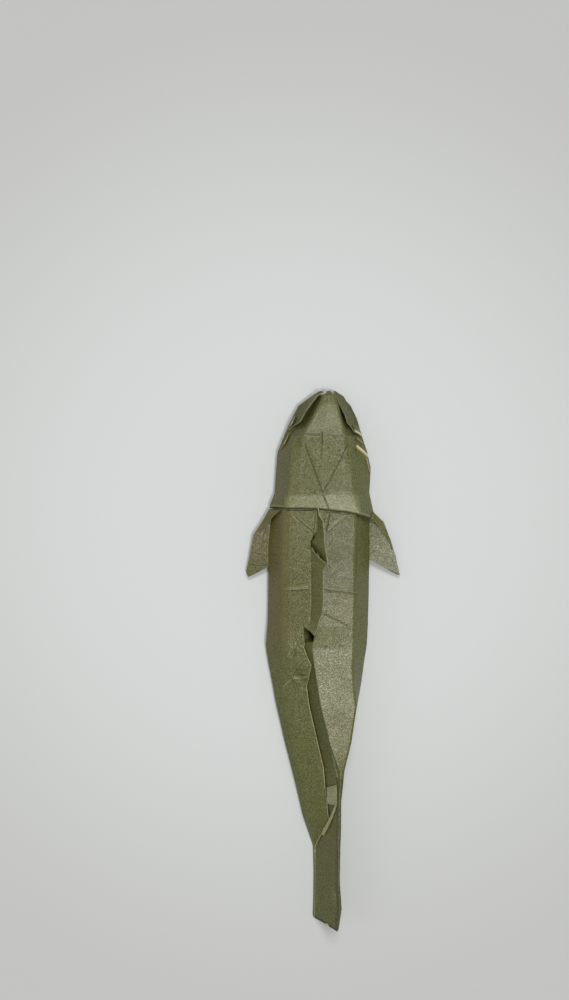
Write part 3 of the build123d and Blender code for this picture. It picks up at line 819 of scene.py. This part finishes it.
# %% [markdown]
# ## Lips and gill folds
# On each side of the snout a narrow flap stands up from the jaw line and leans in over a dark
# valley. Behind it come the layered gill folds, where the sheet's raw edge shows its cream
# core. They could be cut free from the head's own net, but each flap laps over the next one,
# so each is a layer between the jaw line and its own free edge.

# %% Lips and gills
# Each row has a point on the jaw line and one on the free edge: place along, place across,
# and rise above the jaw, as shares.
flap_shares = {
    "left_lip": [
        (0.0010, -0.055, 0.50, 0.0034, -0.010, 0.64),
        (0.0040, -0.13, 0.16, 0.012, -0.126, 0.76),
        (0.0137, -0.28, 0.0, 0.028, -0.256, 0.92),
        (0.033, -0.49, -0.04, 0.041, -0.353, 1.0),
        (0.0505, -0.575, -0.06, 0.060, -0.466, 0.88),
        (0.063, -0.64, -0.06, 0.065, -0.568, 0.53),
        (0.074, -0.695, -0.06, 0.0735, -0.68, 0.14),
    ],
    "right_lip": [
        (0.0010, 0.212, 0.50, 0.0022, 0.190, 0.62),
        (0.0102, 0.395, 0.04, 0.019, 0.268, 0.84),
        (0.033, 0.535, -0.02, 0.035, 0.352, 0.98),
        (0.0418, 0.59, -0.05, 0.0454, 0.409, 1.04),
        (0.0547, 0.645, -0.06, 0.061, 0.462, 1.02),
        (0.0682, 0.69, -0.06, 0.068, 0.53, 0.92),
        (0.0786, 0.73, -0.06, 0.079, 0.61, 0.76),
    ],
    "left_gill": [
        (0.077, -0.70, -0.05, 0.077, -0.685, 0.12),
        (0.090, -0.77, -0.06, 0.088, -0.71, 0.45),
        (0.103, -0.835, -0.06, 0.100, -0.775, 0.50),
        (0.1135, -0.875, -0.05, 0.112, -0.855, 0.14),
    ],
    "left_lip_layer": [
        (0.0475, -0.585, -0.04, 0.0485, -0.560, 0.30),
        (0.0560, -0.628, -0.04, 0.0565, -0.597, 0.42),
        (0.0660, -0.680, -0.04, 0.0655, -0.645, 0.40),
        (0.0745, -0.722, -0.04, 0.0735, -0.700, 0.16),
    ],
    "right_front_gill": [
        (0.0640, 0.565, 0.86, 0.0779, 0.631, 0.84),
        (0.0670, 0.640, 0.52, 0.0812, 0.700, 0.56),
        (0.0700, 0.700, 0.10, 0.0850, 0.773, 0.26),
    ],
    "right_inner_gill": [
        (0.0960, 0.640, 0.62, 0.0880, 0.645, 0.72),
        (0.1000, 0.700, 0.40, 0.0925, 0.715, 0.48),
        (0.1040, 0.770, 0.16, 0.0970, 0.790, 0.22),
    ],
    "right_rear_gill": [
        (0.1250, 0.625, 1.16, 0.1029, 0.650, 1.10),
        (0.1300, 0.730, 0.80, 0.1118, 0.785, 0.66),
        (0.1380, 0.870, 0.12, 0.1200, 0.876, 0.16),
    ],
    "right_gill_layer": [
        (0.1180, 0.868, -0.06, 0.1190, 0.835, 0.30),
        (0.1300, 0.900, -0.06, 0.1310, 0.862, 0.34),
        (0.1420, 0.925, -0.06, 0.1420, 0.890, 0.30),
        (0.1530, 0.935, -0.06, 0.1520, 0.922, 0.06),
    ],
}

# %% Make the flaps
# How open the cream edge is, how far it reaches, and how much painted shade darkens the flap.
flap_step = 0.0003
flap_edge_mark = 0.45
flap_raw_reach = 0.0005
raw_edges = {"right_front_gill": 0.9, "right_inner_gill": 0.3, "right_rear_gill": 1.0,
             "right_gill_layer": 0.2}
raw_reaches = {"right_front_gill": 0.0012, "right_rear_gill": 0.0014}
flap_shades = {"left_lip": -0.30, "right_lip": -0.30, "left_lip_layer": -0.30,
              "left_gill": -0.25, "right_inner_gill": -0.15, "right_gill_layer": -0.25}


def flap_pairs(rows):
    """The foot on the jaw line and the free edge of a flap at each row."""
    pairs = []
    for foot_share, foot_across, foot_rise, edge_share, edge_across, edge_rise in rows:
        foot = corner(foot_share, foot_across, jaw_height + foot_rise * lip_rise)
        edge = corner(edge_share, edge_across, jaw_height + edge_rise * lip_rise)
        pairs.append((foot, edge))
    return pairs


for name, rows_of_shares in flap_shares.items():
    layer_object(name, flap_pairs(rows_of_shares), edge_mark=flap_edge_mark,
                 raw_mark=raw_edges.get(name, 0), raw_reach=raw_reaches.get(name, flap_raw_reach),
                 body_mark=flap_shades.get(name, 0), step=flap_step)
print("flaps", len(flap_shares))

# %% [markdown]
# ## Side fins
# The collar's ends run on into two low fins. Each fin is a flat plate that droops to its
# tip, with the collar's end lying on its front rim as a second layer. One bent plate could
# stand for both, but the step between the two layers is easy to see, so they are separate
# layers that touch.

# %% Fins and their rims
# A fin's row has its root's place along and across, then its rim's place along and across,
# and how high the rim is as a share of the side crease's height. A rim's row has the rim
# first, and then the place and height of the collar's end. The fins' marks, which are painted
# shade, and their creases come last.
fin_shares = {
    "left_fin": [
        (0.2225, -0.98, 0.2235, -0.702, 1.05),
        (0.247, -0.99, 0.2509, -0.812, 0.97),
        (0.268, -1.02, 0.272, -0.9075, 0.87),
        (0.288, -1.04, 0.2924, -0.9315, 0.80),
        (0.315, -1.06, 0.3264, -0.976, 0.67),
        (0.325, -1.06, 0.3407, -1.0, 0.60),
        (0.3305, -1.06, 0.3519, -0.97, 0.60),
    ],
    "right_fin": [
        (0.226, 0.86, 0.2275, 0.644, 1.05),
        (0.243, 0.87, 0.2477, 0.7877, 1.0),
        (0.275, 0.885, 0.2806, 0.87, 0.87),
        (0.300, 0.89, 0.3117, 0.942, 0.70),
        (0.314, 0.89, 0.3483, 1.0, 0.57),
        (0.3175, 0.89, 0.345, 0.945, 0.57),
    ],
}
rim_shares = {
    "left_fin_rim": [
        (0.2245, -0.695, 1.05, 0.2245, -0.558, 0.74),
        (0.2385, -0.75, 1.0, 0.2345, -0.628, 0.56),
        (0.2515, -0.805, 0.96, 0.2435, -0.685, 0.42),
        (0.2625, -0.855, 0.91, 0.2585, -0.745, 0.33),
        (0.2715, -0.897, 0.87, 0.2705, -0.89, 0.262),
    ],
    "right_fin_rim": [
        (0.2275, 0.64, 1.05, 0.239, 0.61, 0.50),
        (0.239, 0.712, 1.02, 0.246, 0.664, 0.36),
        (0.248, 0.783, 1.0, 0.259, 0.726, 0.31),
        (0.264, 0.822, 0.93, 0.2735, 0.798, 0.285),
        (0.2805, 0.866, 0.87, 0.2855, 0.856, 0.265),
        (0.2985, 0.903, 0.78, 0.2995, 0.898, 0.25),
    ],
}
fin_shades = {"left_fin": -0.18, "right_fin": -0.27}
fin_creases = {
    "left_fin": [(0.2584, -1.146, 0.2749, -1.218, 0.00012, -0.6),
                 (0.3285, -1.500, 0.3310, -1.080, 0.00014, -0.6)],
    "right_fin": [(0.2420, 0.900, 0.2560, 1.240, 0.00010, -0.3)],
}

# %% Make the fins
fin_fold_mark = 0.25
rim_seat = 0.7
rim_foot_mark = 0.3
rim_edge_mark = 0.35
for name, rows_of_shares in fin_shares.items():
    pairs = []
    for root_share, root_across, rim_share, rim_across, droop in rows_of_shares:
        root = corner(root_share, root_across, crease_height - layer / 2)
        rim = (rim_across * half_span, along(rim_share), droop * crease_height)
        pairs.append((root, rim))
    fin = layer_object(name, pairs, edge_mark=fin_fold_mark, body_mark=fin_shades[name])
    crease(fin, fin_creases[name], 0)
for name, rows_of_shares in rim_shares.items():
    pairs = []
    for rim_share, rim_across, droop, edge_share, edge_across, edge_up in rows_of_shares:
        rim_up = droop * crease_height + layer * rim_seat
        rim = (rim_across * half_span, along(rim_share), rim_up)
        edge = (edge_across * half_span, along(edge_share), edge_up * body_height)
        pairs.append((rim, edge))
    layer_object(name, pairs, foot_mark=rim_foot_mark, edge_mark=rim_edge_mark)
print("fins and rims", len(fin_shares) + len(rim_shares))

# %% [markdown]
# ## The wrap over the tail
# Near the tail fin the left half wraps over the spine. A small flap shows there as a bright
# level patch, and the wrap's folded edge runs from it down to the lower left as a thin
# bright strip. Both could be painted on the trunk, but they lie higher and catch some light,
# so they are thin layers that follow the back's height, and a painted highlight makes them pale.

# %% Tail wrap
# Each row has the left and then the right edge, as a place along, a place across and a rise
# above the tail's side as a share of its height.
wrap_shares = {
    "tail_patch": [
        (0.7400, 0.075, 0.0, 0.7305, 0.236, 0.0),
        (0.7470, 0.062, 0.08, 0.7380, 0.240, 0.02),
        (0.7660, 0.062, 0.08, 0.7620, 0.243, 0.02),
        (0.7705, 0.066, 0.0, 0.7665, 0.243, 0.0),
    ],
    "fin_lip": [
        (0.7650, 0.225, 0.02, 0.7670, 0.250, 0.0),
        (0.7900, 0.130, 0.05, 0.7930, 0.168, 0.0),
        (0.8200, 0.000, 0.045, 0.8240, 0.052, 0.0),
        (0.8320, -0.027, 0.035, 0.8340, 0.012, 0.0),
    ],
}
back_corners = [2, 3, 5, 6]


def back_height(share, across):
    """Height of the trunk's back at a place along and across it."""
    places = [row[0] for row in trunk_shares]
    sides = []
    heights = []
    for number in back_corners:
        corner_sides = [row[2][number][0] for row in trunk_shares]
        corner_heights = [row[2][number][1] * row[1] for row in trunk_shares]
        sides.append(np.interp(share, places, corner_sides))
        heights.append(np.interp(share, places, corner_heights))
    return float(np.interp(across, sides, heights))


# A painted highlight makes both layers pale; their folds are worn.
wrap_highlight = 0.6
wrap_fold_mark = 0.75
fine_step = 0.0004
for name, rows_of_shares in wrap_shares.items():
    pairs = []
    for left_share, left_across, left_rise, right_share, right_across, right_rise in rows_of_shares:
        left_up = back_height(left_share, left_across) + left_rise * tail_height
        right_up = back_height(right_share, right_across) + right_rise * tail_height
        pairs.append((corner(left_share, left_across, left_up),
                      corner(right_share, right_across, right_up)))
    layer_object(name, pairs, foot_mark=wrap_fold_mark, edge_mark=wrap_fold_mark,
                 body_mark=wrap_highlight, step=fine_step)
print("wrap layers", len(wrap_shares))

# %% [markdown]
# ## The end of the tail
# The tail fin is doubled, and its two layers don't end together. The under layer runs on a
# little further, in the shade of the upper one, with painted shade on its paper as well, and a
# small notch in it shows the cream core.
# Stretching the trunk's last row would give one thick end, so the under layer and the lip of
# its notch are two more thin layers.

# %% Under layer of the tail's end
# Each row has its place along, then the place across and the height of the low edge and of
# the high edge.
under_layer_shares = [
    (0.9780, -0.150, 0.045, 0.262, 0.970),
    (0.9995, -0.160, 0.045, 0.252, 0.965),
]
notch_shares = [
    (0.9945, 0.036, 0.575, 0.088, 0.66),
    (0.9990, 0.038, 0.585, 0.085, 0.66),
]
# Painted shade darkens the under layer and its two edges.
under_edge_shade = -0.6
under_shade = -0.55
notch_raw = 0.5
notch_raw_reach = 0.003


def tail_pairs(rows):
    """The low and the high edge of a layer on the tail fin at each row."""
    return [(corner(share, low_across, low_up * tail_height),
             corner(share, high_across, high_up * tail_height))
            for share, low_across, low_up, high_across, high_up in rows]


layer_object("tail_under_layer", tail_pairs(under_layer_shares), foot_mark=under_edge_shade,
             edge_mark=under_edge_shade, body_mark=under_shade, step=fine_step)
layer_object("tail_notch", tail_pairs(notch_shares), raw_mark=notch_raw,
             raw_reach=notch_raw_reach, step=flap_step)
print("tail end made")

# %% [markdown]
# ## The paper
# The sheet is a strong thin paper with long fibres and a faint pearly speckle. Its colour is
# an olive that wanders a little between green and brown, and it is browner on the left flank
# behind the collar. Folds are paler, because the fibres there are broken, and raw edges show
# a cream core. Painted shade darkens the creases, valleys and some panels, and painted
# highlights make a few places pale. A photographed paper texture could be wrapped on, but it
# would need a file and would stretch at the folds. So all of this comes from noise in object
# space and from the two values that the nets carry.

# %% Helpers for materials
def add_node(tree, kind, inputs=None, **settings):
    """A new node: its settings first, then each input is linked or given a value."""
    made = tree.nodes.new(kind)
    for key, value in settings.items():
        setattr(made, key, value)
    for label, source in (inputs or {}).items():
        if isinstance(source, bpy.types.NodeSocket):
            tree.links.new(source, made.inputs[label])
        else:
            made.inputs[label].default_value = source
    return made


def noise_texture(tree, place, scale, detail, roughness=0.5, distortion=0.0):
    """Soft random values, finer with a larger scale."""
    inputs = {"Vector": place, "Scale": scale, "Detail": detail, "Roughness": roughness,
              "Distortion": distortion}
    return add_node(tree, "ShaderNodeTexNoise", inputs).outputs["Fac"]


def map_range(tree, value, start=0.0, stop=1.0, low=0.0, high=1.0):
    """Turn the range from start to stop into low to high, and stay inside it."""
    inputs = {"Value": value, "From Min": start, "From Max": stop, "To Min": low, "To Max": high}
    return add_node(tree, "ShaderNodeMapRange", inputs).outputs["Result"]


def maths(tree, operation, *values, clamp=False):
    """A sum with fixed or linked values, kept between 0 and 1 if it is clamped."""
    made = add_node(tree, "ShaderNodeMath", dict(enumerate(values)),
                    operation=operation, use_clamp=clamp)
    return made.outputs["Value"]


def blend(tree, share, under, over):
    """The under colour, covered by a share of the over colour."""
    inputs = {"Factor": share, "A": under, "B": over}
    return add_node(tree, "ShaderNodeMix", inputs, data_type="RGBA").outputs["Result"]


def attribute(tree, name):
    """A value that rides on the points of the mesh."""
    return add_node(tree, "ShaderNodeAttribute", attribute_name=name).outputs["Fac"]


# %% Fibres and speckle
# Thin lines where one noise crosses its middle are the fibres. Spots of a finer noise are
# added to them, and together they are the pearly speckle.
paper_green = (0.060, 0.066, 0.016, 1)
paper_light = (0.142, 0.144, 0.052, 1)
noise_middle = 0.5
fibre_width = 0.09
fibre_weight = 0.5
grain_contrast = 2.6
grain_cut = -1.05
paper = bpy.data.materials.new("olive_paper")
paper.use_nodes = True
tree = paper.node_tree
tree.nodes.clear()
place = add_node(tree, "ShaderNodeTexCoord").outputs["Object"]
fibre = noise_texture(tree, place, scale=1500, detail=3, roughness=0.6, distortion=0.5)
grain = noise_texture(tree, place, scale=1900, detail=2)
from_middle = maths(tree, "ABSOLUTE", maths(tree, "SUBTRACT", fibre, noise_middle))
fibre_lines = map_range(tree, from_middle, stop=fibre_width, low=1.0, high=0.0)
grain_spots = maths(tree, "MULTIPLY_ADD", grain, grain_contrast, grain_cut, clamp=True)
speckle = maths(tree, "MULTIPLY_ADD", fibre_lines, fibre_weight, grain_spots, clamp=True)
speckled_paper = blend(tree, speckle, paper_green, paper_light)
print("speckle made")

# %% Green to brown
# Slow patches drift to brown, and the left flank behind the collar is brown all over.
paper_brown = (0.112, 0.091, 0.027, 1)
patches = noise_texture(tree, place, scale=48, detail=5, roughness=0.6)
patch_brown = map_range(tree, patches, start=0.48, stop=0.70, high=0.45)
axes = add_node(tree, "ShaderNodeSeparateXYZ", {"Vector": place})
on_left = map_range(tree, axes.outputs["X"], start=-0.0085, stop=-0.0150, high=0.50)
before_tail = map_range(tree, axes.outputs["Y"], start=-0.012, stop=0.010)
flank_brown = maths(tree, "MULTIPLY", on_left, before_tail)
brown_share = maths(tree, "MAXIMUM", patch_brown, flank_brown)
brown_paper = blend(tree, brown_share, speckled_paper, paper_brown)
print("brown drift made")

# %% Worn folds, painted shade and raw edges
# The speckle breaks up the worn lines, because the broken fibres are uneven.
wear_and_highlight_tone = (0.34, 0.34, 0.19, 1)
painted_shade_tone = (0.030, 0.031, 0.012, 1)
raw_tone = (0.80, 0.68, 0.42, 1)
wear_and_painted_light_value = attribute(tree, "wear_and_painted_light")
uneven = map_range(tree, speckle, low=0.55, high=1.30)
# Marks above 0 are worn folds and painted highlights, and marks below 0 are painted shade.
wear_and_highlight_share = maths(tree, "MULTIPLY", wear_and_painted_light_value, uneven, clamp=True)
worn_and_highlit_paper = blend(tree, wear_and_highlight_share, brown_paper, wear_and_highlight_tone)
painted_shade_share = maths(tree, "MULTIPLY", wear_and_painted_light_value, -1.0, clamp=True)
painted_shade_paper = blend(tree, painted_shade_share, worn_and_highlit_paper, painted_shade_tone)
paper_colour = blend(tree, attribute(tree, "raw"), painted_shade_paper, raw_tone)
print("worn, creased and raw tones made")

# %% Gloss and fine relief
# The speckle shines more than the paper between it. Paper seen at a low angle would turn
# grey with shine, so the gloss fades there. A bump adds the fibres, the grain and streaks
# that run across the fish.
streak_stretch = (0.22, 1.0, 0.5)
streak_weight = 0.9
grain_weight = 1.2
gloss_fade = 1.2
roughness = map_range(tree, grain, low=0.22, high=0.36)
speckle_gloss = map_range(tree, speckle, low=0.33, high=0.80)
turned_away = add_node(tree, "ShaderNodeLayerWeight", {"Blend": 0.5}).outputs["Facing"]
facing = maths(tree, "POWER", maths(tree, "SUBTRACT", 1.0, turned_away), gloss_fade)
gloss = maths(tree, "MULTIPLY", speckle_gloss, facing)
stretched = add_node(tree, "ShaderNodeMapping", {"Vector": place, "Scale": streak_stretch})
streaks = noise_texture(tree, stretched.outputs["Vector"], scale=900, detail=2)
fine_relief = maths(tree, "MULTIPLY_ADD", streaks, streak_weight, fibre_lines)
relief = maths(tree, "MULTIPLY_ADD", grain, grain_weight, fine_relief)
bump = add_node(tree, "ShaderNodeBump",
                {"Height": relief, "Strength": 0.36, "Distance": 0.00005})
shader = add_node(tree, "ShaderNodeBsdfPrincipled", {
    "Base Color": paper_colour, "Roughness": roughness, "Specular IOR Level": gloss,
    "Specular Tint": (1.0, 0.97, 0.85, 1), "Normal": bump.outputs["Normal"]})
add_node(tree, "ShaderNodeOutputMaterial", {"Surface": shader.outputs["BSDF"]})
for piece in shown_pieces():
    if piece.type == "MESH":
        piece.data.materials.clear()
        piece.data.materials.append(paper)

# %% [markdown]
# ## The table
# The fish lies on a pale matt card. In the studio light the card is brightest round the fish
# and a little darker further away. A narrow spot lamp could do that, but it would change the
# light on the fish too. So the card's own colour falls off, in a soft round pool: a painted
# pool of light.

# %% Table
floor_half = 4.0
pool_place = (-0.012, 0.055, 0)
pool_reach = 0.21
pool_blend = 0.75
far_tone = (0.498, 0.498, 0.484, 1)
near_tone = (0.614, 0.630, 0.616, 1)
floor_mesh = bpy.data.meshes.new("table")
floor_mesh.from_pydata(
    [(-floor_half, -floor_half, 0), (floor_half, -floor_half, 0),
     (floor_half, floor_half, 0), (-floor_half, floor_half, 0)], [], [(0, 1, 2, 3)])
floor = bpy.data.objects.new("table", floor_mesh)
bpy.context.scene.collection.objects.link(floor)
card = bpy.data.materials.new("pale_card")
card.use_nodes = True
tree = card.node_tree
tree.nodes.clear()
place = add_node(tree, "ShaderNodeTexCoord").outputs["Object"]
moved = add_node(tree, "ShaderNodeMapping",
                 {"Vector": place, "Location": pool_place, "Scale": (pool_reach,) * 3},
                 vector_type="TEXTURE")
pool = add_node(tree, "ShaderNodeTexGradient", {"Vector": moved.outputs["Vector"]},
                gradient_type="SPHERICAL")
soft_pool = add_node(tree, "ShaderNodeMapRange",
                     {"Value": pool.outputs["Fac"], "From Max": pool_blend},
                     interpolation_type="SMOOTHSTEP")
card_colour = blend(tree, soft_pool.outputs["Result"], far_tone, near_tone)
card_shader = add_node(tree, "ShaderNodeBsdfPrincipled", {
    "Base Color": card_colour, "Roughness": 0.9, "Specular IOR Level": 0.1})
add_node(tree, "ShaderNodeOutputMaterial", {"Surface": card_shader.outputs["BSDF"]})
floor_mesh.materials.append(card)
print("table", floor_half * 2, "m wide")

# %% [markdown]
# ## The light
# Three soft lamps light the fish: one overhead to the right, one from the head's end that
# opens up the folds, and a weak one from the left. The room adds an even light. Lamps on
# stands close by would do, but the table would go dark behind the fish in a low view. These
# lamps shine from far away, so every part of the table gets the same light. The wall that
# the camera sees has the table's tone and adds no light.

# %% Light
wall_tone = (0.54, 0.54, 0.525, 1)
room_tone = (0.97, 0.985, 1.0, 1)
room_strength = 0.345
lamps = {
    # where the light comes from, its strength, and how wide the lamp looks, in degrees
    "overhead": ((0.249, -0.249, 1.0), 1.34, 12),
    "front": ((0.08, 0.74, 1.05), 1.26, 20),
    "left": ((-1.00, 0.10, 0.75), 0.16, 30),
}
room = bpy.data.worlds.new("room")
room.use_nodes = True
bpy.context.scene.world = room
tree = room.node_tree
tree.nodes.clear()
room_light = add_node(tree, "ShaderNodeBackground",
                      {"Color": room_tone, "Strength": room_strength})
wall = add_node(tree, "ShaderNodeBackground", {"Color": wall_tone, "Strength": 1.0})
seen = add_node(tree, "ShaderNodeLightPath").outputs["Is Camera Ray"]
either = add_node(tree, "ShaderNodeMixShader", {
    "Fac": seen, 1: room_light.outputs["Background"], 2: wall.outputs["Background"]})
add_node(tree, "ShaderNodeOutputWorld", {"Surface": either.outputs["Shader"]})
for name, (side, strength, width) in lamps.items():
    lamp_data = bpy.data.lights.new(name, "SUN")
    lamp_data.energy = strength
    lamp_data.angle = math.radians(width)
    lamp = bpy.data.objects.new(name, lamp_data)
    lamp.location = Vector(side)
    lamp.rotation_euler = (-Vector(side)).to_track_quat("-Z", "Y").to_euler()
    bpy.context.scene.collection.objects.link(lamp)
print("lamps", list(lamps))

# %% [markdown]
# ## The camera
# The camera looks straight down from about 38 cm, beside the head. That is why the tail shows
# its left face and the head its front. A longer lens from further away would show the fish
# flatter than it looks in the photo.

# %% Camera
camera_place = (-0.0146, 0.0589, 0.381)
camera_data = bpy.data.cameras.new("camera")
camera_data.sensor_width = 36
camera_data.lens = 36
camera_data.clip_start = 0.01
camera = bpy.data.objects.new("camera", camera_data)
camera.location = camera_place
bpy.context.scene.collection.objects.link(camera)
bpy.context.scene.camera = camera
bpy.context.scene.view_settings.view_transform = "Standard"
print("camera at", camera_place)
